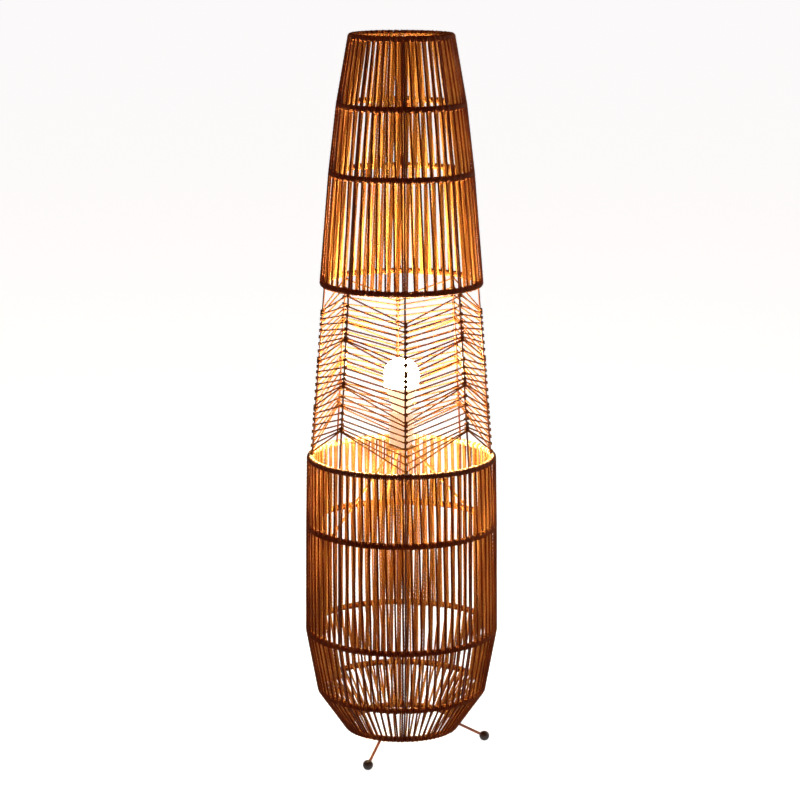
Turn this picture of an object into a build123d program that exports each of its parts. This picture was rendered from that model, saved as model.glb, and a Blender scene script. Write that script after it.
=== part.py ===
"""Floor lamp of rope wound on a wire frame: an upper shade, an open chevron band and a lower basket.

Millimetres, +Z up, origin on the floor under the lamp's axis. Angles are in degrees about +Z,
counted from the front (-Y) towards +X.
"""

from build123d import *
import math
import os

# ---------------------------------------------------------------- driving dimensions

# Wire frame: height and radius of each ring's centre line, from the mouth down to the base.
lamp_ring_height = 1195.0  # the mouth ring, which sets the lamp's height
belly_radius = 155.5  # the widest ring
mouth_ring = (lamp_ring_height, 81.5)
shade_ring_upper = (1085.0, 101.0)
shade_ring_lower = (974.0, 114.0)
shade_hem_ring = (794.0, 129.0)
basket_rim_ring = (501.0, 152.0)
basket_ring_upper = (386.0, 154.0)
belly_ring = (206.0, belly_radius)
basket_ring_lower = (103.0, 136.5)
base_ring = (39.0, 92.0)

ring_wire_d = 4.0
rib_wire_d = 3.2
rib_count = 8
rib_bend_run = 3.0  # straight length that each side of a bend gives up to its arc
weld_depth = 0.4  # how far two welded wires sink into each other

# Rope: every wrap has an outer and an inner strand, one on each side of the ring wires.
rope_d = 3.4
rib_slot_gap = 0.5  # from a rib to the rope beside it
cord_d = 2.5  # the finer cord of the chevron band
chevron_low_top = 747.0  # top of the band on every second rib, starting with the front one
chevron_high_bottom = 566.0  # bottom of the band on the ribs between
band_gap = 0.6  # from the band's corners to the wound rings above and below

# Legs and ball feet
leg_count = 3
leg_angle = -25.4
leg_wire_d = 4.8
leg_inner_run = 9.0  # how far a leg runs on inside the base ring
foot_d = 17.0
foot_height = 8.0  # of the ball's centre, so that the ball stands on a small flat
foot_radius = 142.5
foot_hole_past_centre = 2.0

# Spider that carries the lampholder
spider_count = 3
spider_angle = -51.5
spider_wire_d = 4.0
hub_height = 515.5  # underside of the hub plate
hub_d = 46.0
hub_thickness = 2.5
hub_hole_gap = 0.15  # radial, round the nipple

# Lampholder for an E27 lamp
nipple_d = 10.0
nipple_bore_d = 7.2
nipple_below_hub = 8.0
nipple_above_hub = 11.0
nut_width = 14.0  # across the flats
nut_thickness = 3.0
washer_d = 15.0
washer_thickness = 0.8
holder_foot_d = 26.0
holder_d = 40.0
holder_wall = 2.2
holder_cap_height = 26.0
sleeve_lap = 5.0  # how far the sleeve's spigot reaches into the cap
lip_gap = 1.5  # from the sleeve's lip to the shoulder of a bulb screwed home
insert_thickness = 8.0
insert_gap = 0.3  # from the ceramic insert and the brass shell to the housing
shell_wall = 0.5
shell_length = 26.0
leaf_width = 8.0
leaf_thickness = 0.8
leaf_rise = 3.0  # of the centre contact above the insert
terminal_screw_d = 3.0
terminal_head_d = 5.4
terminal_head_height = 1.8
terminal_spread = 18.0

# Bulb
cap_d = 26.0
cap_clearance = 0.08  # radial, between the bulb's cap and the brass shell
contact_gap = 0.1  # between the bulb's contact and the leaf it rests on
contact_d = 9.0
contact_height = 1.2
insulator_height = 4.0
cap_length = 21.0
cap_wall = 0.6
housing_neck_d = 28.0
housing_d = 57.0
housing_length = 44.0
housing_wall = 2.0
diffuser_d = 60.0
diffuser_wall = 1.5
bulb_length = 118.0

# ---------------------------------------------------------------- worked-out values

rings = {
    "mouth_ring": mouth_ring,
    "shade_ring_upper": shade_ring_upper,
    "shade_ring_lower": shade_ring_lower,
    "shade_hem_ring": shade_hem_ring,
    "basket_rim_ring": basket_rim_ring,
    "basket_ring_upper": basket_ring_upper,
    "belly_ring": belly_ring,
    "basket_ring_lower": basket_ring_lower,
    "base_ring": base_ring,
}
wound_sections = {
    "shade_wrap_upper": ("mouth_ring", "shade_ring_upper"),
    "shade_wrap_middle": ("shade_ring_upper", "shade_ring_lower"),
    "shade_wrap_lower": ("shade_ring_lower", "shade_hem_ring"),
    "basket_wrap_rim": ("basket_rim_ring", "basket_ring_upper"),
    "basket_wrap_belly": ("basket_ring_upper", "belly_ring"),
    "basket_wrap_lower": ("belly_ring", "basket_ring_lower"),
    "basket_wrap_base": ("basket_ring_lower", "base_ring"),
}
free_edges = ("mouth_ring", "shade_hem_ring", "basket_rim_ring", "base_ring")

wound_half = ring_wire_d / 2 + rope_d  # from a ring's centre line to the outside of its rope
rib_offset = (ring_wire_d + rib_wire_d) / 2 - weld_depth
rib_pitch = 360 / rib_count

hub_top = hub_height + hub_thickness
cap_floor = hub_top + nipple_above_hub
cap_top = hub_top + holder_cap_height
insert_bottom = cap_top - sleeve_lap
insert_top = insert_bottom + insert_thickness
leaf_top = insert_top + leaf_rise
shell_radius = cap_d / 2 + cap_clearance
bulb_bottom = leaf_top + contact_gap
bulb_cap_bottom = bulb_bottom + contact_height + insulator_height
bulb_cap_top = bulb_cap_bottom + cap_length
sleeve_top = bulb_cap_top - lip_gap
housing_top = bulb_cap_top + housing_length
bulb_top = bulb_bottom + bulb_length
globe_height = bulb_top - diffuser_d / 2

os.makedirs("parts", exist_ok=True)


# ---------------------------------------------------------------- helpers


def save(piece, name):
    """Labels a finished sub-part and writes it as one STEP file."""
    piece.label = name
    export_step(piece, f"parts/{name}.step")


def radial_plane(angle):
    """The upright plane through the axis at this angle: its x is the radius, its y the height."""
    turn = math.radians(angle)
    outward = (math.sin(turn), -math.cos(turn), 0)
    return Plane(origin=(0, 0, 0), x_dir=outward, z_dir=(-math.cos(turn), -math.sin(turn), 0))


def place(radius, height, angle):
    """The point at this radius, height and angle."""
    return radial_plane(angle).from_local_coords((radius, height, 0))


def straight_wire(start, end, diameter):
    """A round wire between two points."""
    with BuildPart() as wire:
        with BuildSketch(Plane(origin=start, z_dir=end - start)):
            Circle(diameter / 2)
        extrude(amount=(end - start).length)
    return wire.part


def turned(profile, angle=0):
    """A closed outline of (radius, height) points, turned once about the lamp's axis."""
    with BuildPart() as piece:
        with BuildSketch(radial_plane(angle)):
            with BuildLine():
                Polyline(*profile, close=True)
            make_face()
        revolve(axis=Axis.Z)
    return piece.part


# ---------------------------------------------------------------- wire frame


def wire_ring(height, radius):
    with BuildPart(Plane.XY.offset(height)) as ring:
        Torus(radius, ring_wire_d / 2)
    return ring.part


def rib_corners():
    """Where a rib's centre line passes each ring, its bend lying against the ring's inner side.

    The arc of a bend cuts its corner, so the corner stands out by as much.
    """
    centres = [Vector(radius, height) for height, radius in rings.values()]
    corners = []
    for number, centre in enumerate(centres):
        before = centres[max(number - 1, 0)]
        after = centres[min(number + 1, len(centres) - 1)]
        along = (after - before).normalized()
        inward = Vector(along.Y, -along.X)
        cut = 0
        if 0 < number < len(centres) - 1:
            arriving, leaving = centre - before, after - centre
            turn = math.atan2(arriving.cross(leaving).Z, arriving.dot(leaving))
            cut = -rib_bend_run * math.tan(turn / 4)
        corners.append(centre + inward * (rib_offset - cut))
    return corners


def rib_bends(corners):
    """The arc at each corner that takes the same straight length from both of its runs."""
    radii = []
    for before, corner, after in zip(corners, corners[1:], corners[2:]):
        turn = (corner - before).get_angle(after - corner)
        radii.append(rib_bend_run / math.tan(math.radians(turn / 2)))
    return radii


def wire_rib(angle):
    corners = rib_corners()
    with BuildPart() as rib:
        with BuildLine(radial_plane(angle)) as route:
            FilletPolyline(*[(c.X, c.Y) for c in corners], radius=rib_bends(corners))
        with BuildSketch(Plane(origin=route.line @ 0, z_dir=route.line % 0)):
            Circle(rib_wire_d / 2)
        sweep()
    return rib.part


# ---------------------------------------------------------------- legs and feet


def leg_line(angle):
    """A leg's centre line: from inside the base ring, under its wire, to the ball foot's centre."""
    height, radius = base_ring
    foot = Vector(foot_radius, foot_height)
    ring = Vector(radius, height)
    reach = (ring - foot).length
    under = (ring_wire_d + leg_wire_d) / 2 - weld_depth
    steer = math.degrees(math.asin(under / reach))
    direction = (ring - foot).normalized().rotate(Axis.Z, steer)
    inner = foot + direction * (reach * math.cos(math.radians(steer)) + leg_inner_run)
    past = foot - direction * foot_hole_past_centre
    return place(inner.X, inner.Y, angle), place(past.X, past.Y, angle)


def leg(angle, extra=0):
    inner, outer = leg_line(angle)
    return straight_wire(inner, outer, leg_wire_d + 2 * extra)


def ball_foot(angle):
    """A ball with a flat to stand on and a blind hole for its leg."""
    with BuildPart() as foot:
        with Locations(place(foot_radius, foot_height, angle)):
            Sphere(foot_d / 2)
        split(bisect_by=Plane.XY, keep=Keep.TOP)
        add(leg(angle), mode=Mode.SUBTRACT)
    return foot.part


# ---------------------------------------------------------------- spider and hub


def spider_wire(angle, extra=0):
    """A strut from the inner side of its ring up to the underside of the hub plate's rim."""
    height, radius = basket_ring_upper
    foot = Vector(radius, height)
    head = Vector(hub_d / 2 - spider_wire_d / 2, hub_height - spider_wire_d / 4)
    along = (head - foot).normalized()
    start = foot + along * (ring_wire_d / 2 - weld_depth)
    return straight_wire(
        place(start.X, start.Y, angle), place(head.X, head.Y, angle), spider_wire_d + 2 * extra
    )


def hub_plate():
    with BuildPart() as plate:
        with BuildSketch(Plane.XY.offset(hub_height)):
            Circle(hub_d / 2)
            Circle(nipple_d / 2 + hub_hole_gap, mode=Mode.SUBTRACT)
        extrude(amount=hub_thickness)
        chamfer(plate.edges().filter_by(GeomType.CIRCLE).sort_by(SortBy.RADIUS)[-2:], 0.4)
    return plate.part


# ---------------------------------------------------------------- rope


def wound_section(upper, lower):
    """The rope wall between two rings, one plate to each bay between the ribs."""
    with BuildPart() as wrap:
        with BuildSketch(radial_plane(0)):
            with BuildLine():
                Polyline(
                    (rings[upper][1] - wound_half, rings[upper][0]),
                    (rings[upper][1] + wound_half, rings[upper][0]),
                    (rings[lower][1] + wound_half, rings[lower][0]),
                    (rings[lower][1] - wound_half, rings[lower][0]),
                    close=True,
                )
            make_face()
            for name in (upper, lower):
                height, radius = rings[name]
                with Locations((radius, height)):
                    if name in free_edges:
                        Circle(wound_half)
                    Circle(ring_wire_d / 2, mode=Mode.SUBTRACT)
        revolve(axis=Axis.Z)
        with BuildSketch(Plane.XY):
            for number in range(rib_count // 2):
                Rectangle(
                    rib_wire_d + 2 * rib_slot_gap,
                    4 * belly_radius,
                    rotation=number * rib_pitch,
                )
        extrude(amount=2 * lamp_ring_height, mode=Mode.SUBTRACT)
        if "base_ring" in (upper, lower):
            for number in range(leg_count):
                angle = leg_angle + number * 360 / leg_count
                add(leg(angle, rib_slot_gap), mode=Mode.SUBTRACT)
        if "basket_ring_upper" in (upper, lower):
            for number in range(spider_count):
                angle = spider_angle + number * 360 / spider_count
                add(spider_wire(angle, rib_slot_gap), mode=Mode.SUBTRACT)
    return wrap.part


def chevron_panel(number, ribs):
    """The cords strung across one bay, as a flat plate whose ends fit the two ribs."""
    corners = rib_corners()
    names = list(rings)
    top = corners[names.index("shade_hem_ring")]
    bottom = corners[names.index("basket_rim_ring")]
    half = math.radians(rib_pitch / 2)
    middle = math.radians((number + 0.5) * rib_pitch)
    across = Vector(math.cos(middle), math.sin(middle), 0)
    outward = Vector(math.sin(middle), -math.cos(middle), 0)
    rise = outward * ((top.X - bottom.X) * math.cos(half)) + Vector(0, 0, top.Y - bottom.Y)
    origin = outward * (bottom.X * math.cos(half)) + Vector(0, 0, bottom.Y)
    plane = Plane(origin=origin, x_dir=across, z_dir=across.cross(rise))

    def corner(side, height):
        share = (height - bottom.Y) / (top.Y - bottom.Y)
        radius = bottom.X + share * (top.X - bottom.X)
        return (side * radius * math.sin(half), share * rise.length)

    band_top = shade_hem_ring[0] - wound_half - band_gap
    band_bottom = basket_rim_ring[0] + wound_half + band_gap
    low = -1 if number % 2 == 0 else 1  # the side on which the low rib stands
    with BuildPart() as panel:
        with BuildSketch(plane):
            with BuildLine():
                Polyline(
                    corner(low, chevron_low_top),
                    corner(low, band_bottom),
                    corner(-low, chevron_high_bottom),
                    corner(-low, band_top),
                    close=True,
                )
            make_face()
        extrude(amount=cord_d / 2, both=True)
        add(ribs[number], mode=Mode.SUBTRACT)
        add(ribs[(number + 1) % rib_count], mode=Mode.SUBTRACT)
    return panel.part


# ---------------------------------------------------------------- lampholder


def nipple():
    return turned(
        [
            (nipple_bore_d / 2, hub_height - nipple_below_hub),
            (nipple_d / 2, hub_height - nipple_below_hub),
            (nipple_d / 2, cap_floor),
            (nipple_bore_d / 2, cap_floor),
        ]
    )


def nipple_washer():
    with BuildPart() as washer:
        with BuildSketch(Plane.XY.offset(hub_height - washer_thickness)):
            Circle(washer_d / 2)
            Circle(nipple_d / 2 + hub_hole_gap, mode=Mode.SUBTRACT)
        extrude(amount=washer_thickness)
    return washer.part


def nipple_nut():
    top = hub_height - washer_thickness
    with BuildPart() as nut:
        with BuildSketch(Plane.XY.offset(top - nut_thickness)):
            RegularPolygon(nut_width / 2, 6, major_radius=False)
            Circle(nipple_d / 2, mode=Mode.SUBTRACT)
        extrude(amount=nut_thickness)
    return nut.part


def holder_cap():
    """The lower half of the housing: a neck threaded on the nipple, flaring to a cup."""
    outer = holder_d / 2
    foot = holder_foot_d / 2
    return turned(
        [
            (nipple_d / 2, hub_top),
            (foot, hub_top),
            (outer, hub_top + (outer - foot) * 1.4),
            (outer, cap_top),
            (outer - holder_wall, cap_top),
            (outer - holder_wall, cap_floor + holder_wall),
            (foot - holder_wall, cap_floor),
            (nipple_d / 2, cap_floor),
        ]
    )


def holder_sleeve():
    """The upper half of the housing, whose spigot seats in the cap and whose ledge holds the insert."""
    outer = holder_d / 2
    spigot = outer - holder_wall
    inner = shell_radius + shell_wall + insert_gap
    return turned(
        [
            (inner, insert_top + insert_gap),
            (spigot - holder_wall, insert_top + insert_gap),
            (spigot - holder_wall, insert_bottom),
            (spigot, insert_bottom),
            (spigot, cap_top),
            (outer, cap_top),
            (outer, sleeve_top - holder_wall),
            (outer - holder_wall, sleeve_top),
            (inner, sleeve_top),
        ]
    )


def holder_insert():
    """The ceramic disc that carries the contacts, with two holes for the terminal screws."""
    radius = holder_d / 2 - 2 * holder_wall - insert_gap
    with BuildPart() as insert:
        with BuildSketch(Plane.XY.offset(insert_bottom)):
            Circle(radius)
            with Locations((terminal_spread / 2, 0), (-terminal_spread / 2, 0)):
                Circle(terminal_screw_d / 2, mode=Mode.SUBTRACT)
        extrude(amount=insert_thickness)
    return insert.part


def terminal_screws():
    """Two screws, heads down, whose shanks stop inside the ceramic disc."""
    with BuildPart() as screws:
        with BuildSketch(Plane.XY.offset(insert_bottom - terminal_head_height)):
            with Locations((terminal_spread / 2, 0), (-terminal_spread / 2, 0)):
                Circle(terminal_head_d / 2)
        extrude(amount=terminal_head_height)
        with BuildSketch(Plane.XY.offset(insert_bottom)):
            with Locations((terminal_spread / 2, 0), (-terminal_spread / 2, 0)):
                Circle(terminal_screw_d / 2)
        extrude(amount=insert_thickness - leaf_thickness)
    return screws.part


def screw_shell():
    """The brass shell that the bulb's cap turns in."""
    return turned(
        [
            (shell_radius, insert_top),
            (shell_radius + shell_wall, insert_top),
            (shell_radius + shell_wall, insert_top + shell_length),
            (shell_radius, insert_top + shell_length),
        ]
    )


def centre_leaf():
    """A bent brass leaf: it stands on the insert and lifts its tip under the bulb's contact."""
    run = cap_d / 2 - leaf_thickness
    with BuildPart() as leaf:
        with BuildSketch(Plane.XZ):
            with BuildLine():
                Polyline(
                    (-run, insert_top),
                    (-run + leaf_width / 2, insert_top),
                    (-run + leaf_width / 2 + leaf_thickness, leaf_top - leaf_thickness),
                    (leaf_width / 2, leaf_top - leaf_thickness),
                    (leaf_width / 2, leaf_top),
                    (-run + leaf_width / 2, leaf_top),
                    (-run + leaf_width / 2 - leaf_thickness, insert_top + leaf_thickness),
                    (-run, insert_top + leaf_thickness),
                    close=True,
                )
            make_face()
        extrude(amount=leaf_width / 2, both=True)
    return leaf.part


# ---------------------------------------------------------------- bulb


def bulb_contact():
    return turned(
        [
            (0, bulb_bottom),
            (contact_d / 2 - contact_height / 2, bulb_bottom),
            (contact_d / 2, bulb_bottom + contact_height),
            (0, bulb_bottom + contact_height),
        ]
    )


def bulb_insulator():
    foot = bulb_bottom + contact_height
    return turned(
        [
            (0, foot + contact_gap),
            (contact_d / 2 + contact_height, foot + contact_gap),
            (cap_d / 2 - cap_wall, bulb_cap_bottom),
            (0, bulb_cap_bottom),
        ]
    )


def bulb_cap():
    """The E27 cap: a thin metal cup, open above where the housing's neck seats in it."""
    outer = cap_d / 2
    return turned(
        [
            (0, bulb_cap_bottom),
            (outer - cap_wall, bulb_cap_bottom),
            (outer, bulb_cap_bottom + cap_wall),
            (outer, bulb_cap_top),
            (outer - cap_wall, bulb_cap_top),
            (outer - cap_wall, bulb_cap_bottom + cap_wall),
            (0, bulb_cap_bottom + cap_wall),
        ]
    )


def bulb_housing():
    """The flared plastic body between the cap and the diffuser."""
    neck = housing_neck_d / 2
    rim = housing_d / 2
    spigot = cap_d / 2 - cap_wall
    spigot_bottom = bulb_cap_top - cap_length / 2
    with BuildPart() as housing:
        with BuildSketch(Plane.XZ):
            with BuildLine():
                Polyline(
                    (neck, bulb_cap_top),
                    (spigot, bulb_cap_top),
                    (spigot, spigot_bottom),
                    (spigot - housing_wall, spigot_bottom),
                    (spigot - housing_wall, bulb_cap_top),
                )
                Spline(
                    (spigot - housing_wall, bulb_cap_top),
                    (rim - housing_wall, housing_top),
                    tangents=((0.25, 1), (0.45, 1)),
                )
                Line((rim - housing_wall, housing_top), (rim, housing_top))
                Spline(
                    (rim, housing_top),
                    (neck, bulb_cap_top),
                    tangents=((-0.45, -1), (-0.25, -1)),
                )
            make_face()
        revolve(axis=Axis.Z)
    return housing.part


def bulb_diffuser():
    """The frosted globe: most of a sphere, drawn in to stand on the housing's rim."""
    outer = diffuser_d / 2
    rim = housing_d / 2
    drop = math.sqrt(outer**2 - rim**2)
    inner = outer - diffuser_wall
    inner_rim = rim - diffuser_wall
    inner_drop = math.sqrt(inner**2 - inner_rim**2)
    with BuildPart() as diffuser:
        with BuildSketch(Plane.XZ):
            with BuildLine():
                ThreePointArc(
                    (rim, globe_height - drop), (outer, globe_height), (0, globe_height + outer)
                )
                Line((0, globe_height + outer), (0, globe_height + inner))
                ThreePointArc(
                    (0, globe_height + inner),
                    (inner, globe_height),
                    (inner_rim, globe_height - inner_drop),
                )
                Line((inner_rim, globe_height - inner_drop), (inner_rim, housing_top))
                Line((inner_rim, housing_top), (rim, housing_top))
                Line((rim, housing_top), (rim, globe_height - drop))
            make_face()
        revolve(axis=Axis.Z)
    return diffuser.part


# ---------------------------------------------------------------- the whole lamp

for ring_name, (ring_height, ring_radius) in rings.items():
    save(wire_ring(ring_height, ring_radius), ring_name)

rib_parts = [wire_rib(number * rib_pitch) for number in range(rib_count)]
for number, rib_part in enumerate(rib_parts):
    save(rib_part, f"rib_{number + 1}")

for number in range(leg_count):
    leg_turn = leg_angle + number * 360 / leg_count
    save(leg(leg_turn), f"leg_{number + 1}")
    save(ball_foot(leg_turn), f"ball_foot_{number + 1}")

for section_name, (upper_ring, lower_ring) in wound_sections.items():
    save(wound_section(upper_ring, lower_ring), section_name)

for number in range(rib_count):
    save(chevron_panel(number, rib_parts), f"chevron_panel_{number + 1}")

for number in range(spider_count):
    save(spider_wire(spider_angle + number * 360 / spider_count), f"spider_wire_{number + 1}")

save(hub_plate(), "hub_plate")
save(nipple(), "threaded_nipple")
save(nipple_washer(), "nipple_washer")
save(nipple_nut(), "nipple_nut")
save(holder_cap(), "holder_cap")
save(holder_sleeve(), "holder_sleeve")
save(holder_insert(), "holder_insert")
save(terminal_screws(), "terminal_screws")
save(screw_shell(), "screw_shell")
save(centre_leaf(), "centre_leaf")
save(bulb_contact(), "bulb_contact")
save(bulb_insulator(), "bulb_insulator")
save(bulb_cap(), "bulb_cap")
save(bulb_housing(), "bulb_housing")
save(bulb_diffuser(), "bulb_diffuser")
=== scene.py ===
"""The looks of the rope floor lamp: twisted rope strands, wound rings, tied cords and a lit bulb.

Metres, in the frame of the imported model: +Z up, -Y towards the viewer. Angles are counted from
the front (-Y) towards +X, as the frame's ribs are.
"""

import math

import bpy
import numpy as np
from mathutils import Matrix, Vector


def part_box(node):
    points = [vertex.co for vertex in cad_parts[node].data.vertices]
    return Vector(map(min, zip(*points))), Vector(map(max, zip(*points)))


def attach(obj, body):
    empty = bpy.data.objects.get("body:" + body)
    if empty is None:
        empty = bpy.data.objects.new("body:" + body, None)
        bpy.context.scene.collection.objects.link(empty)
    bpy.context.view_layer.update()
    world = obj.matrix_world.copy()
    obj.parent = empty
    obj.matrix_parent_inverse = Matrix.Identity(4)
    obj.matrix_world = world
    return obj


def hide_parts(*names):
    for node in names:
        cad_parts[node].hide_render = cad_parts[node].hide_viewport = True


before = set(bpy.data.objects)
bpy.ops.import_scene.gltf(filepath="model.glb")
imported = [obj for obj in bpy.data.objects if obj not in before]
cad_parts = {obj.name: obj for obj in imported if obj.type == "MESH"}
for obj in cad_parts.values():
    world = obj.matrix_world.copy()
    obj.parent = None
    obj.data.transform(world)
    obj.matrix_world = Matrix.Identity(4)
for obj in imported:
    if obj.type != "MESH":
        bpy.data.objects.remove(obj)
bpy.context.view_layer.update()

# ---------------------------------------------------------------- sizes that the strands need

MM = 0.001
ROPE_RADIUS = 1.7 * MM
CORD_RADIUS = 1.5 * MM
WELD_DEPTH = 0.4 * MM
PROUD = 0.35 * MM  # how far a strand's loop rides over the turns round its ring
ROPE_LAY = 20 * MM  # length in which the rope's plies go once round
CORD_LAY = 13 * MM
BINDING_PITCH = 3.45 * MM
BINDING_STEPS = 12  # points to one turn round a ring
STRAND_STEP = 2.0 * MM
CORD_STEP = 1.6 * MM
LOOP_STEPS = 5  # points on the quarter turn that ends a strand
WANDER = 0.15 * MM  # how far a strand strays sideways between its rings
STRAY = 0.15 * MM  # and at its ends
RIBS = 8
BAY = 2 * math.pi / RIBS
SHADE_WRAPS = (6, 7)  # outer strands to a bay, in turn round the lamp
BASKET_WRAPS = (9, 9)
DOUBLED = 2  # inner strands to each outer one in the dense sections

# The chevron band: three groups of cords to a bay, from each tie height on the high ribs to the
# one on the low ribs.
GROUP_CORDS = 8
HIGH_TIES = (0.714, 0.640, 0.566)
LOW_TIES = (0.747, 0.668, 0.588)
HIGH_FAN = 1.9  # how the cords crowd towards the lower end of a group on a high rib
LOW_FAN = 1.3  # and towards its upper end on a low rib
TIE_TURNS = 1.25
BAND_GAP = 1.0 * MM
CORD_STAND = 0.7  # of a cord's radius, from a rib's surface to the cord's centre
TIE_STAND = 0.85  # the same for the turns of a tie
TIE_STEPS = 14  # points to one turn of a tie
CORD_SAG = 0.6 * MM

rng = np.random.default_rng(12)

SHADE_RINGS = ("mouth_ring", "shade_ring_upper", "shade_ring_lower", "shade_hem_ring")
BASKET_RINGS = (
    "basket_rim_ring",
    "basket_ring_upper",
    "belly_ring",
    "basket_ring_lower",
    "base_ring",
)
SECTIONS = {
    "shade_wrap_upper": (SHADE_RINGS[0], SHADE_RINGS[1], SHADE_WRAPS, DOUBLED),
    "shade_wrap_middle": (SHADE_RINGS[1], SHADE_RINGS[2], SHADE_WRAPS, DOUBLED),
    "shade_wrap_lower": (SHADE_RINGS[2], SHADE_RINGS[3], SHADE_WRAPS, DOUBLED),
    "basket_wrap_rim": (BASKET_RINGS[0], BASKET_RINGS[1], BASKET_WRAPS, DOUBLED),
    "basket_wrap_belly": (BASKET_RINGS[1], BASKET_RINGS[2], BASKET_WRAPS, DOUBLED),
    "basket_wrap_lower": (BASKET_RINGS[2], BASKET_RINGS[3], BASKET_WRAPS, 1),
    "basket_wrap_base": (BASKET_RINGS[3], BASKET_RINGS[4], BASKET_WRAPS, 1),
}


def ring_centre(name):
    """(radius, height) of a ring's centre line and the radius of its wire."""
    low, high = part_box(name)
    wire = (high.z - low.z) / 2
    return np.array([(high.x - low.x) / 2 - wire, (high.z + low.z) / 2]), wire


RINGS = {name: ring_centre(name)[0] for name in SHADE_RINGS + BASKET_RINGS}
RING_WIRE = ring_centre("mouth_ring")[1]
RIB_WIRE = (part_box("rib_1")[1].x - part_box("rib_1")[0].x) / 2
WOUND = RING_WIRE + ROPE_RADIUS  # from a ring's centre line to that of the rope round it


# ---------------------------------------------------------------- rope meshes


class Strands:
    """Collects twisted strands into one mesh."""

    def __init__(self, radius, lay, plies=3, round_points=9):
        self.radius = radius
        self.lay = lay
        self.plies = plies
        self.round_points = round_points
        self.points = []
        self.faces = []
        self.count = 0

    def outline(self):
        """Angle and radius of each point round one strand: three plies with grooves between."""
        turn = np.linspace(0, 2 * math.pi, self.round_points, endpoint=False)
        groove = 0.5 + 0.5 * np.cos(self.plies * turn)
        return turn, self.radius * (1.06 - 0.3 * groove**1.5)

    def add(self, path, reference, closed=False, twist=None):
        """A strand along path; reference is a direction, or one to a point, never along it."""
        path = np.asarray(path, float)
        if closed:
            along = np.roll(path, -1, 0) - np.roll(path, 1, 0)
        else:
            along = np.gradient(path, axis=0)
        along /= np.linalg.norm(along, axis=1)[:, None]
        side = np.cross(along, np.broadcast_to(reference, path.shape))
        side /= np.linalg.norm(side, axis=1)[:, None]
        up = np.cross(side, along)
        run = np.linalg.norm(np.diff(path, axis=0), axis=1)
        distance = np.concatenate([[0], np.cumsum(run)])
        start = rng.uniform(0, 2 * math.pi)
        if twist is None:
            twist = 2 * math.pi / self.lay
        turn, size = self.outline()
        angle = turn[None, :] + start + twist * distance[:, None]
        ring = (
            path[:, None, :]
            + side[:, None, :] * (size * np.cos(angle))[:, :, None]
            + up[:, None, :] * (size * np.sin(angle))[:, :, None]
        )
        n, m = ring.shape[:2]
        self.points.append(ring.reshape(-1, 3))
        rows = n if closed else n - 1
        i = np.arange(rows)[:, None]
        j = np.arange(m)[None, :]
        a = i * m + j
        b = i * m + (j + 1) % m
        c = ((i + 1) % n) * m + (j + 1) % m
        d = ((i + 1) % n) * m + j
        self.faces.append((np.stack([a, b, c, d], -1).reshape(-1, 4) + self.count, None))
        if not closed:
            caps = [np.arange(m)[::-1] + self.count, np.arange(m) + (n - 1) * m + self.count]
            self.faces.append((None, caps))
        self.count += n * m

    def build(self, name, material):
        points = np.concatenate(self.points)
        quads = np.concatenate([q for q, caps in self.faces if q is not None])
        caps = [c for q, ends in self.faces if ends is not None for c in ends]
        loops = np.concatenate([quads.reshape(-1)] + caps)
        starts = np.concatenate(
            [np.arange(len(quads)) * 4, len(quads) * 4 + np.arange(len(caps)) * self.round_points]
        )
        mesh = bpy.data.meshes.new(name)
        mesh.vertices.add(len(points))
        mesh.vertices.foreach_set("co", points.ravel())
        mesh.loops.add(len(loops))
        mesh.loops.foreach_set("vertex_index", loops.astype(np.int32))
        mesh.polygons.add(len(starts))
        mesh.polygons.foreach_set("loop_start", starts.astype(np.int32))
        mesh.update(calc_edges=True)
        mesh.validate()
        mesh.shade_smooth()
        mesh.materials.append(material)
        piece = bpy.data.objects.new(name, mesh)
        bpy.context.scene.collection.objects.link(piece)
        return piece


def spin(radius_height, angle):
    """Points given as (radius, height), turned to their angles about the lamp's axis."""
    radius, height = np.moveaxis(np.asarray(radius_height), -1, 0)
    return np.stack([radius * np.sin(angle), -radius * np.cos(angle), height], -1)


def strand_path(upper, lower, top_angle, bottom_angle, side):
    """One strand between two rings, with a quarter turn round each at its ends.

    side is 1 for an outer strand and -1 for an inner one.
    """
    climb = (upper - lower) / np.linalg.norm(upper - lower)
    outward = np.array([climb[1], -climb[0]]) * side
    reach = WOUND + PROUD
    quarter = np.linspace(math.pi / 2, 0, LOOP_STEPS, endpoint=False)[:, None]
    over = upper + reach * (outward * np.cos(quarter) + climb * np.sin(quarter))
    under = lower + reach * (outward * np.cos(quarter) - climb * np.sin(quarter))
    steps = max(4, int(np.linalg.norm(upper - lower) / STRAND_STEP))
    share = np.linspace(0, 1, steps)
    straight = (upper + outward * reach) * (1 - share[:, None])
    straight = straight + (lower + outward * reach) * share[:, None]
    profile = np.concatenate([over, straight, under[::-1]])
    angle = np.concatenate(
        [
            np.full(LOOP_STEPS, top_angle),
            top_angle + (bottom_angle - top_angle) * share,
            np.full(LOOP_STEPS, bottom_angle),
        ]
    )
    stray = rng.normal(0, WANDER) / profile[:, 0]
    bow = np.concatenate([np.zeros(LOOP_STEPS), np.sin(math.pi * share), np.zeros(LOOP_STEPS)])
    return spin(profile, angle + stray * bow)


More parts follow.
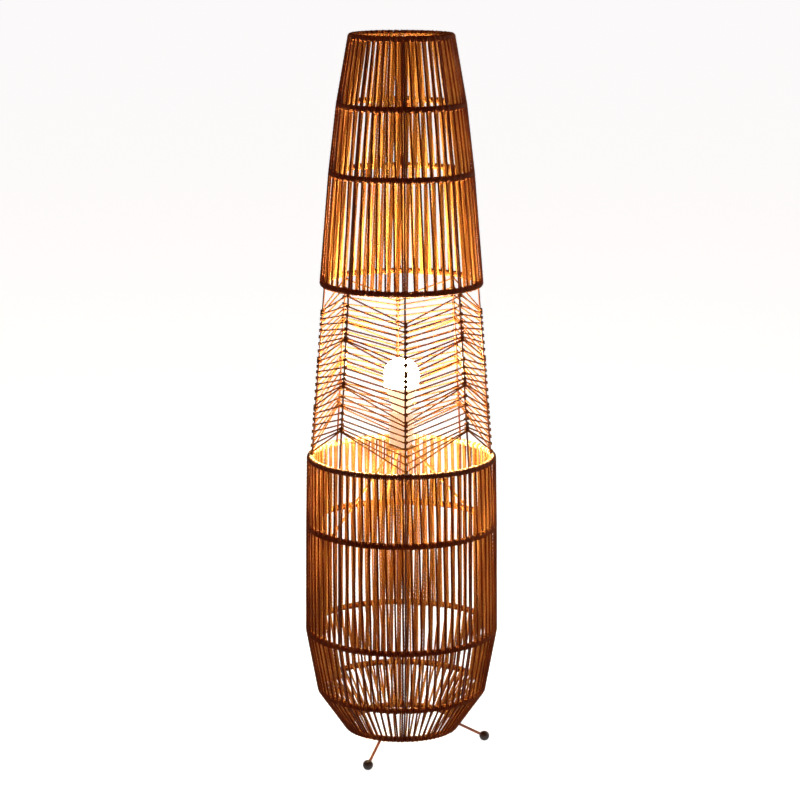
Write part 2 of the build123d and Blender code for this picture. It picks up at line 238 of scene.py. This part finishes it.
def wound_section(
    name, upper_name, lower_name, wraps_in_turn, inner, outer_material, inner_material
):
    """The strands between two rings: the rope zigzags from outer to inner strand.

    At each ring an outer and an inner strand lie side by side, and they part on the way across.
    """
    upper, lower = RINGS[upper_name], RINGS[lower_name]
    outer_strands = Strands(ROPE_RADIUS, ROPE_LAY)
    inner_strands = Strands(ROPE_RADIUS, ROPE_LAY)
    clear = RIB_WIRE + ROPE_RADIUS
    for bay in range(RIBS):
        wraps = wraps_in_turn[bay % 2]
        tangent_angle = (bay + 0.5) * BAY
        tangent = np.array([math.cos(tangent_angle), math.sin(tangent_angle), 0])
        first = bay * BAY

        def at(place, radius, shift):
            """Angle of a half wrap across the bay, shifted sideways, clear of both ribs."""
            margin = clear / radius
            angle = BAY * (place + 1) / (2 * wraps) + shift * ROPE_RADIUS / radius
            angle += rng.normal(0, STRAY) / radius
            return first + min(max(angle, margin), BAY - margin)

        for wrap in range(wraps):
            top = at(2 * wrap, upper[0], 1)
            bottom = at(2 * wrap + 1, lower[0], -1)
            outer_strands.add(strand_path(upper, lower, top, bottom, 1), tangent)
            for number in range(inner):
                beside = 2 * number - (inner - 1)
                bottom = at(2 * wrap - 1, lower[0], 1 + beside)
                top = at(2 * wrap, upper[0], -1 + beside)
                inner_strands.add(strand_path(upper, lower, top, bottom, -1), tangent)
    outer_piece = outer_strands.build(name.replace("wrap", "outer_strands"), outer_material)
    inner_piece = inner_strands.build(name.replace("wrap", "inner_strands"), inner_material)
    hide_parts(name)
    for piece in (outer_piece, inner_piece):
        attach(piece, "lamp")


def ring_binding(name, material):
    """The rope wound round a ring's wire, turn against turn."""
    radius, height = RINGS[name]
    turns = round(2 * math.pi * radius / BINDING_PITCH)
    count = turns * BINDING_STEPS
    around = np.arange(count) / count * 2 * math.pi
    winding = around * turns
    profile = np.stack(
        [radius + WOUND * np.cos(winding), height + WOUND * np.sin(winding)], -1
    )
    path = spin(profile, around)
    tangent = np.stack([np.cos(around), np.sin(around), np.zeros(count)], -1)
    strands = Strands(ROPE_RADIUS, ROPE_LAY, round_points=6)
    length = count * np.linalg.norm(path[1] - path[0])
    whole_turns = round(length / ROPE_LAY)
    strands.add(path, tangent, closed=True, twist=2 * math.pi * whole_turns / length)
    piece = strands.build(name.replace("_ring", "_binding"), material)
    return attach(piece, "lamp")


def rib_line(height):
    """Radius of a rib's centre line at this height between the hem ring and the basket's rim."""
    top, bottom = RINGS["shade_hem_ring"], RINGS["basket_rim_ring"]
    share = (height - bottom[1]) / (top[1] - bottom[1])
    return bottom[0] + share * (top[0] - bottom[0]) - (RING_WIRE + RIB_WIRE - WELD_DEPTH)


def tie_heights():
    """Heights of every cord's two ends: on the high ribs and on the low ribs."""
    band_top = RINGS["shade_hem_ring"][1] - WOUND - ROPE_RADIUS - CORD_RADIUS - BAND_GAP
    band_bottom = RINGS["basket_rim_ring"][1] + WOUND + ROPE_RADIUS + CORD_RADIUS + BAND_GAP
    high = (band_top,) + HIGH_TIES
    low = LOW_TIES + (band_bottom,)
    ends = []
    for group in range(len(HIGH_TIES)):
        for number in range(GROUP_CORDS):
            share = number / GROUP_CORDS
            high_share = 1 - (1 - share) ** HIGH_FAN
            low_share = share**LOW_FAN
            ends.append(
                (
                    high[group] + (high[group + 1] - high[group]) * high_share,
                    low[group] + (low[group + 1] - low[group]) * low_share,
                )
            )
    ends.append((high[-1], low[-1]))
    return ends


def chevron_cords(number, material):
    """The cords strung across one bay, on the outside of its two ribs."""
    strands = Strands(CORD_RADIUS, CORD_LAY, round_points=6)
    left, right = number * BAY, (number + 1) * BAY
    middle = (left + right) / 2
    outward = np.array([math.sin(middle), -math.cos(middle), 0])
    stand = RIB_WIRE + CORD_RADIUS * CORD_STAND
    for high, low in tie_heights():
        heights = (low, high) if number % 2 == 0 else (high, low)
        ends = [
            spin((rib_line(z), z), angle) + outward * stand for z, angle in zip(heights, (left, right))
        ]
        steps = int(np.linalg.norm(ends[1] - ends[0]) / CORD_STEP)
        share = np.linspace(0, 1, steps)[:, None]
        sag = rng.uniform(0, CORD_SAG)
        path = ends[0] * (1 - share) + ends[1] * share
        path = path - np.array([0, 0, sag]) * np.sin(math.pi * share)
        strands.add(path, outward)
    piece = strands.build(f"chevron_cords_{number + 1}", material)
    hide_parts(f"chevron_panel_{number + 1}")
    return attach(piece, "lamp")


def rib_ties(number, material):
    """The turns that the cords take round one rib."""
    strands = Strands(CORD_RADIUS, CORD_LAY, round_points=6)
    angle = number * BAY
    climb = spin((rib_line(1.0), 1.0), angle) - spin((rib_line(0.0), 0.0), angle)
    climb /= np.linalg.norm(climb)
    across = np.array([math.cos(angle), math.sin(angle), 0])
    outward = np.cross(across, climb)
    reach = RIB_WIRE + CORD_RADIUS * TIE_STAND
    for high, low in tie_heights():
        height = low if number % 2 == 0 else high
        centre = spin((rib_line(height), height), angle)
        count = int(TIE_STEPS * TIE_TURNS)
        wind = np.linspace(0, 2 * math.pi * TIE_TURNS, count) + rng.uniform(-0.4, 0.4)
        rise = np.linspace(-0.5, 0.5, count)[:, None] * 2 * CORD_RADIUS * TIE_TURNS
        path = centre + climb * rise
        path = path + reach * (np.outer(np.cos(wind), outward) + np.outer(np.sin(wind), across))
        strands.add(path, climb)
    piece = strands.build(f"rib_ties_{number + 1}", material)
    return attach(piece, "lamp")


# ---------------------------------------------------------------- materials


def new_material(name):
    material = bpy.data.materials.new(name)
    material.use_nodes = True
    shader = material.node_tree.nodes["Principled BSDF"]
    return material, material.node_tree, shader


def noise(tree, scale, detail=4.0, roughness=0.6, stretch=(1, 1, 1)):
    """A noise texture on object coordinates; returns its value socket."""
    place = tree.nodes.new("ShaderNodeTexCoord")
    mapping = tree.nodes.new("ShaderNodeMapping")
    mapping.inputs["Scale"].default_value = stretch
    texture = tree.nodes.new("ShaderNodeTexNoise")
    texture.inputs["Scale"].default_value = scale
    texture.inputs["Detail"].default_value = detail
    texture.inputs["Roughness"].default_value = roughness
    tree.links.new(place.outputs["Object"], mapping.inputs["Vector"])
    tree.links.new(mapping.outputs["Vector"], texture.inputs["Vector"])
    return texture.outputs["Fac"]


def ramp(tree, factor, stops):
    node = tree.nodes.new("ShaderNodeValToRGB")
    while len(node.color_ramp.elements) < len(stops):
        node.color_ramp.elements.new(0.5)
    for element, (position, colour) in zip(node.color_ramp.elements, stops):
        element.position = position
        element.color = (*colour, 1)
    tree.links.new(factor, node.inputs["Fac"])
    return node.outputs["Color"]


def spread(tree, value, low, high, from_low=0.3, from_high=0.7):
    node = tree.nodes.new("ShaderNodeMapRange")
    node.inputs["From Min"].default_value = from_low
    node.inputs["From Max"].default_value = from_high
    node.inputs["To Min"].default_value = low
    node.inputs["To Max"].default_value = high
    tree.links.new(value, node.inputs["Value"])
    return node.outputs["Result"]


def bump(tree, shader, value, distance, strength=0.6):
    node = tree.nodes.new("ShaderNodeBump")
    node.inputs["Distance"].default_value = distance
    node.inputs["Strength"].default_value = strength
    tree.links.new(value, node.inputs["Height"])
    tree.links.new(node.outputs["Normal"], shader.inputs["Normal"])


def fibre_material(name, dark, light, worn, through, share):
    """Twisted paper rope: slow changes of shade, fine fibres and a little light passing through."""
    material, tree, shader = new_material(name)
    slow = noise(tree, 16, 3)
    fine = noise(tree, 900, 5, 0.7, (1, 1, 0.35))
    mix = tree.nodes.new("ShaderNodeMix")
    mix.data_type = "FLOAT"
    mix.inputs["Factor"].default_value = 0.45
    tree.links.new(slow, mix.inputs["A"])
    tree.links.new(fine, mix.inputs["B"])
    colour = ramp(tree, mix.outputs["Result"], [(0.36, dark), (0.52, light), (0.68, worn)])
    tree.links.new(colour, shader.inputs["Base Color"])
    tree.links.new(spread(tree, fine, 0.66, 0.92), shader.inputs["Roughness"])
    shader.inputs["Specular IOR Level"].default_value = 0.2
    bump(tree, shader, fine, 0.25 * MM, 0.5)
    glow = tree.nodes.new("ShaderNodeBsdfTranslucent")
    glow.inputs["Color"].default_value = (*through, 1)
    blend = tree.nodes.new("ShaderNodeMixShader")
    blend.inputs["Fac"].default_value = share
    output = tree.nodes["Material Output"]
    tree.links.new(shader.outputs["BSDF"], blend.inputs[1])
    tree.links.new(glow.outputs["BSDF"], blend.inputs[2])
    tree.links.new(blend.outputs["Shader"], output.inputs["Surface"])
    return material


def painted_lit_rim_material(name, outer, inner):
    """Rope round the basket's rim, with painted light: dark outside, painted pale on the half that
    faces the lamp's axis, where the bulb lights it.
    """
    material, tree, shader = new_material(name)
    fine = noise(tree, 900, 5, 0.7)
    place = tree.nodes.new("ShaderNodeTexCoord")
    flat = tree.nodes.new("ShaderNodeVectorMath")
    flat.operation = "MULTIPLY"
    flat.inputs[1].default_value = (1, 1, 0)
    reach = tree.nodes.new("ShaderNodeVectorMath")
    reach.operation = "LENGTH"
    tree.links.new(place.outputs["Object"], flat.inputs[0])
    tree.links.new(flat.outputs["Vector"], reach.inputs[0])
    middle = RINGS["basket_rim_ring"][0]
    # Painted light: 0 on the ring's centre line to 1 a wound rope's reach further out; the ramp paints
    # the pale inner colour, standing in for the bulb's light, on the inner half.
    inside = spread(tree, reach.outputs["Value"], 0.0, 1.0, middle, middle + WOUND)
    mix = tree.nodes.new("ShaderNodeMix")
    mix.data_type = "FLOAT"
    mix.inputs["Factor"].default_value = 0.15
    tree.links.new(inside, mix.inputs["A"])
    tree.links.new(fine, mix.inputs["B"])
    colour = ramp(tree, mix.outputs["Result"], [(0.2, inner), (0.6, outer)])
    tree.links.new(colour, shader.inputs["Base Color"])
    tree.links.new(spread(tree, fine, 0.66, 0.92), shader.inputs["Roughness"])
    shader.inputs["Specular IOR Level"].default_value = 0.2
    bump(tree, shader, fine, 0.25 * MM, 0.5)
    return material


def metal_material(name, colour, roughness, grain=260, metallic=1.0, stretch=(1, 1, 1), depth=0.03):
    """Drawn, plated or painted metal: fine grain in its colour, gloss and surface."""
    material, tree, shader = new_material(name)
    grainy = noise(tree, grain, 4, 0.6, stretch)
    dark = tuple(0.8 * c for c in colour)
    light = tuple(min(1.0, 1.15 * c) for c in colour)
    tree.links.new(ramp(tree, grainy, [(0.3, dark), (0.7, light)]), shader.inputs["Base Color"])
    tree.links.new(
        spread(tree, grainy, roughness * 0.8, min(1.0, roughness * 1.3)), shader.inputs["Roughness"]
    )
    shader.inputs["Metallic"].default_value = metallic
    bump(tree, shader, grainy, depth * MM, 0.4)
    return material


def moulded_material(name, colour, roughness, grain=420, depth=0.04, specular=0.5, glow=0.0):
    """Moulded plastic, rubber, ceramic or glass: an even colour under a faint surface texture.

    glow is painted light: an emission in the bulb's colour that stands in for the bulb's light on pale
    plastic beside it.
    """
    material, tree, shader = new_material(name)
    grainy = noise(tree, grain, 3)
    dark = tuple(0.85 * c for c in colour)
    light = tuple(min(1.0, 1.1 * c) for c in colour)
    tree.links.new(ramp(tree, grainy, [(0.3, dark), (0.7, light)]), shader.inputs["Base Color"])
    tree.links.new(
        spread(tree, grainy, roughness * 0.85, min(1.0, roughness * 1.2)), shader.inputs["Roughness"]
    )
    shader.inputs["Specular IOR Level"].default_value = specular
    # Painted light: emission in the bulb's colour, as strong as glow.
    shader.inputs["Emission Color"].default_value = (1.0, 0.86, 0.6, 1)
    shader.inputs["Emission Strength"].default_value = glow
    bump(tree, shader, grainy, depth * MM, 0.35)
    return material


def lit_material(name, colour, strength):
    """The frosted diffuser, glowing evenly, faintly cloudy in its colour."""
    material, tree, shader = new_material(name)
    cloudy = noise(tree, 60, 2)
    pale = tuple(0.96 * c for c in colour)
    tree.links.new(ramp(tree, cloudy, [(0.3, pale), (0.7, colour)]), shader.inputs["Base Color"])
    tree.links.new(spread(tree, cloudy, 0.4, 0.55), shader.inputs["Roughness"])
    shader.inputs["Emission Color"].default_value = (*colour, 1)
    shader.inputs["Emission Strength"].default_value = strength
    return material


# ---------------------------------------------------------------- the lamp

ROPE = fibre_material(
    "rope", (0.12, 0.026, 0.003), (0.21, 0.058, 0.009), (0.36, 0.14, 0.035), (0.7, 0.18, 0.03), 0.04
)
# Painted light: the same rope as ROPE in a paler copy with more light passing through, used for the
# inner strands and standing in for the bulb's light on them.
PAINTED_LIT_ROPE = fibre_material(
    "painted_lit_rope", (0.20, 0.080, 0.018), (0.35, 0.180, 0.050), (0.52, 0.30, 0.10), (1.0, 0.64, 0.28), 0.26
)
CORD = fibre_material(
    "cord", (0.08, 0.022, 0.004), (0.15, 0.050, 0.010), (0.25, 0.10, 0.025), (0.9, 0.40, 0.08), 0.10
)
# Painted light: the rim's binding is dark brown outside and painted cream on its inner half, standing
# in for the bulb's light on it.
PAINTED_LIT_RIM_ROPE = painted_lit_rim_material("rim_rope_painted_lit", (0.15, 0.042, 0.008), (0.92, 0.78, 0.52))
FRAME_WIRE = metal_material(
    "frame_wire", (0.10, 0.028, 0.014), 0.38, grain=500, metallic=0.35, depth=0.02
)
# Painted light: the hub plate and spider wires get a golden colour that stands in for the bulb's light
# falling on them from inside.
PAINTED_LIT_STRUT_WIRE = metal_material(
    "strut_wire_painted_lit", (0.70, 0.42, 0.13), 0.4, grain=500, metallic=0.2, depth=0.02
)
LEG_WIRE = metal_material("leg_wire", (0.33, 0.13, 0.09), 0.28, grain=500, metallic=0.7, depth=0.02)
FOOT = moulded_material("foot_rubber", (0.022, 0.010, 0.007), 0.45)
ZINC = metal_material("zinc", (0.62, 0.62, 0.6), 0.3)
# Painted light: the lampholder's plastic glows faintly, standing in for the bulb's light on it.
HOLDER_PAINTED_GLOW = moulded_material("holder_plastic", (0.86, 0.82, 0.74), 0.4, glow=0.5)
PORCELAIN = moulded_material("porcelain", (0.82, 0.8, 0.75), 0.15)
BRASS = metal_material("brass", (0.78, 0.55, 0.22), 0.3)
SOLDER = metal_material("solder", (0.7, 0.7, 0.68), 0.35)
BLACK_GLASS = moulded_material("black_glass", (0.012, 0.012, 0.012), 0.12)
NICKEL = metal_material("nickel", (0.68, 0.66, 0.6), 0.25)
# Painted light: the bulb's plastic housing glows, standing in for the diffuser's light on it.
BULB_PLASTIC_PAINTED_GLOW = moulded_material("bulb_plastic", (0.88, 0.85, 0.8), 0.3, glow=1.0)
FROSTED = lit_material("frosted_diffuser", (1.0, 0.86, 0.62), 30.0)

NODE_MATERIALS = {
    "ball_foot": FOOT,
    "hub_plate": PAINTED_LIT_STRUT_WIRE,
    "threaded_nipple": ZINC,
    "nipple_washer": ZINC,
    "nipple_nut": ZINC,
    "holder_cap": HOLDER_PAINTED_GLOW,
    "holder_sleeve": HOLDER_PAINTED_GLOW,
    "holder_insert": PORCELAIN,
    "terminal_screws": BRASS,
    "screw_shell": BRASS,
    "centre_leaf": BRASS,
    "bulb_contact": SOLDER,
    "bulb_insulator": BLACK_GLASS,
    "bulb_cap": NICKEL,
    "bulb_housing": BULB_PLASTIC_PAINTED_GLOW,
    "bulb_diffuser": FROSTED,
    "leg": LEG_WIRE,
    "rib": FRAME_WIRE,
    "spider_wire": PAINTED_LIT_STRUT_WIRE,
}
for node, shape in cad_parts.items():
    family = node.rstrip("0123456789").rstrip("_")
    material = NODE_MATERIALS.get(family, FRAME_WIRE)
    for slot in shape.material_slots:
        slot.material = material
    if not shape.material_slots:
        shape.data.materials.append(material)

for section, (upper_ring, lower_ring, turns, inner) in SECTIONS.items():
    wound_section(section, upper_ring, lower_ring, turns, inner, ROPE, PAINTED_LIT_ROPE)
for ring in RINGS:
    ring_binding(ring, PAINTED_LIT_RIM_ROPE if ring == "basket_rim_ring" else ROPE)
for bay in range(RIBS):
    chevron_cords(bay, CORD)
    rib_ties(bay, CORD)

# ---------------------------------------------------------------- stage, light and camera

FLOOR_HALF = 60.0
floor_mesh = bpy.data.meshes.new("floor")
corners = [(-1, -1), (1, -1), (1, 1), (-1, 1)]
floor_mesh.from_pydata([(x * FLOOR_HALF, y * FLOOR_HALF, 0) for x, y in corners], [], [(0, 1, 2, 3)])
floor = bpy.data.objects.new("floor", floor_mesh)
bpy.context.scene.collection.objects.link(floor)
floor_material, _, floor_shader = new_material("floor")
floor_shader.inputs["Base Color"].default_value = (0.5, 0.5, 0.5, 1)
floor_shader.inputs["Roughness"].default_value = 0.9
floor_shader.inputs["Emission Color"].default_value = (0.86, 0.92, 0.94, 1)
floor_shader.inputs["Emission Strength"].default_value = 1.0
floor_mesh.materials.append(floor_material)
floor.visible_diffuse = False

# A white wall far behind, which the views near the floor see above its edge.
WALL_SIDES = 48
WALL_FOOT = -1.0
WALL_HEIGHT = 40.0
wall_points = []
wall_faces = []
for side in range(WALL_SIDES):
    angle = 2 * math.pi * side / WALL_SIDES
    for z in (WALL_FOOT, WALL_HEIGHT):
        wall_points.append((FLOOR_HALF * math.sin(angle), FLOOR_HALF * math.cos(angle), z))
    below, beside = 2 * side, 2 * ((side + 1) % WALL_SIDES)
    wall_faces.append((below, below + 1, beside + 1, beside))
wall_mesh = bpy.data.meshes.new("wall")
wall_mesh.from_pydata(wall_points, [], wall_faces)
wall = bpy.data.objects.new("wall", wall_mesh)
bpy.context.scene.collection.objects.link(wall)
wall_material, _, wall_shader = new_material("wall")
wall_shader.inputs["Base Color"].default_value = (0, 0, 0, 1)
wall_shader.inputs["Emission Color"].default_value = (1, 1, 1, 1)
wall_shader.inputs["Emission Strength"].default_value = 1.0
wall_mesh.materials.append(wall_material)
wall.visible_diffuse = False
wall.visible_glossy = False
wall.visible_transmission = False
wall.visible_shadow = False

world = bpy.data.worlds.new("studio")
world.use_nodes = True
world.node_tree.nodes["Background"].inputs["Color"].default_value = (1, 0.26, 0.08, 1)
world.node_tree.nodes["Background"].inputs["Strength"].default_value = 0.2
bpy.context.scene.world = world


def area_light(name, place, target, size, power, colour=(1, 1, 1)):
    data = bpy.data.lights.new(name, "AREA")
    data.shape = "DISK"
    data.size = size
    data.energy = power
    data.color = colour
    light = bpy.data.objects.new(name, data)
    light.location = place
    light.rotation_euler = (Vector(target) - Vector(place)).to_track_quat("-Z", "Y").to_euler()
    bpy.context.scene.collection.objects.link(light)
    return light


LAMP_MIDDLE = (0, 0, 0.6)
area_light("rim_right", (2.4, 0.9, 1.4), LAMP_MIDDLE, 1.2, 30)
area_light("rim_left", (-2.2, 0.9, 1.2), LAMP_MIDDLE, 1.2, 6)

# The bulb's light, which falls off with distance and not with its square.
GLOW_POWER = 250
globe_low, globe_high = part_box("bulb_diffuser")
globe_radius = (globe_high.x - globe_low.x) / 2
glow_data = bpy.data.lights.new("glow", "POINT")
glow_data.energy = GLOW_POWER
glow_data.use_nodes = True
falloff = glow_data.node_tree.nodes.new("ShaderNodeLightFalloff")
falloff.inputs["Strength"].default_value = 1
glow_data.node_tree.links.new(
    falloff.outputs["Linear"], glow_data.node_tree.nodes["Emission"].inputs["Strength"]
)
glow_data.color = (1.0, 0.74, 0.36)
glow_data.shadow_soft_size = globe_radius + 1 * MM
glow_data.use_soft_falloff = False
glow = bpy.data.objects.new("glow", glow_data)
glow.location = (0, 0, globe_high.z - globe_radius)
glow.visible_camera = False
bpy.context.scene.collection.objects.link(glow)
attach(glow, "bulb")

# The light that the pale rope inside the basket throws back.
BOUNCE_POWER = 4.0
BOUNCE_HEIGHT = 0.40
bounce_data = bpy.data.lights.new("bounce", "POINT")
bounce_data.energy = BOUNCE_POWER
bounce_data.color = (1.0, 0.60, 0.26)
bounce_data.shadow_soft_size = 45 * MM
bounce = bpy.data.objects.new("bounce", bounce_data)
bounce.location = (0, 0, BOUNCE_HEIGHT)
bounce.visible_camera = False
bpy.context.scene.collection.objects.link(bounce)
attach(bounce, "lamp")

CAMERA_SENSOR = 36.0
CAMERA_LENS = 116.9
CAMERA_DISTANCE = 4.2166  # from the lamp's axis
CAMERA_HEIGHT = 1.4569
CAMERA_PITCH = math.radians(11.53)
CAMERA_TURN = math.radians(2.5)
CAMERA_SHIFT = -1.5 / 800  # the lamp's axis stands a little right of the picture's middle
CAMERA_REACH = 200

camera_data = bpy.data.cameras.new("camera")
camera_data.sensor_width = CAMERA_SENSOR
camera_data.lens = CAMERA_LENS
camera_data.shift_x = CAMERA_SHIFT
camera_data.clip_end = CAMERA_REACH
camera = bpy.data.objects.new("camera", camera_data)
camera.location = (
    -CAMERA_DISTANCE * math.sin(CAMERA_TURN),
    -CAMERA_DISTANCE * math.cos(CAMERA_TURN),
    CAMERA_HEIGHT,
)
camera.rotation_euler = (math.pi / 2 - CAMERA_PITCH, 0, -CAMERA_TURN)
bpy.context.scene.collection.objects.link(camera)
bpy.context.scene.camera = camera

bpy.context.scene.view_settings.view_transform = "Standard"
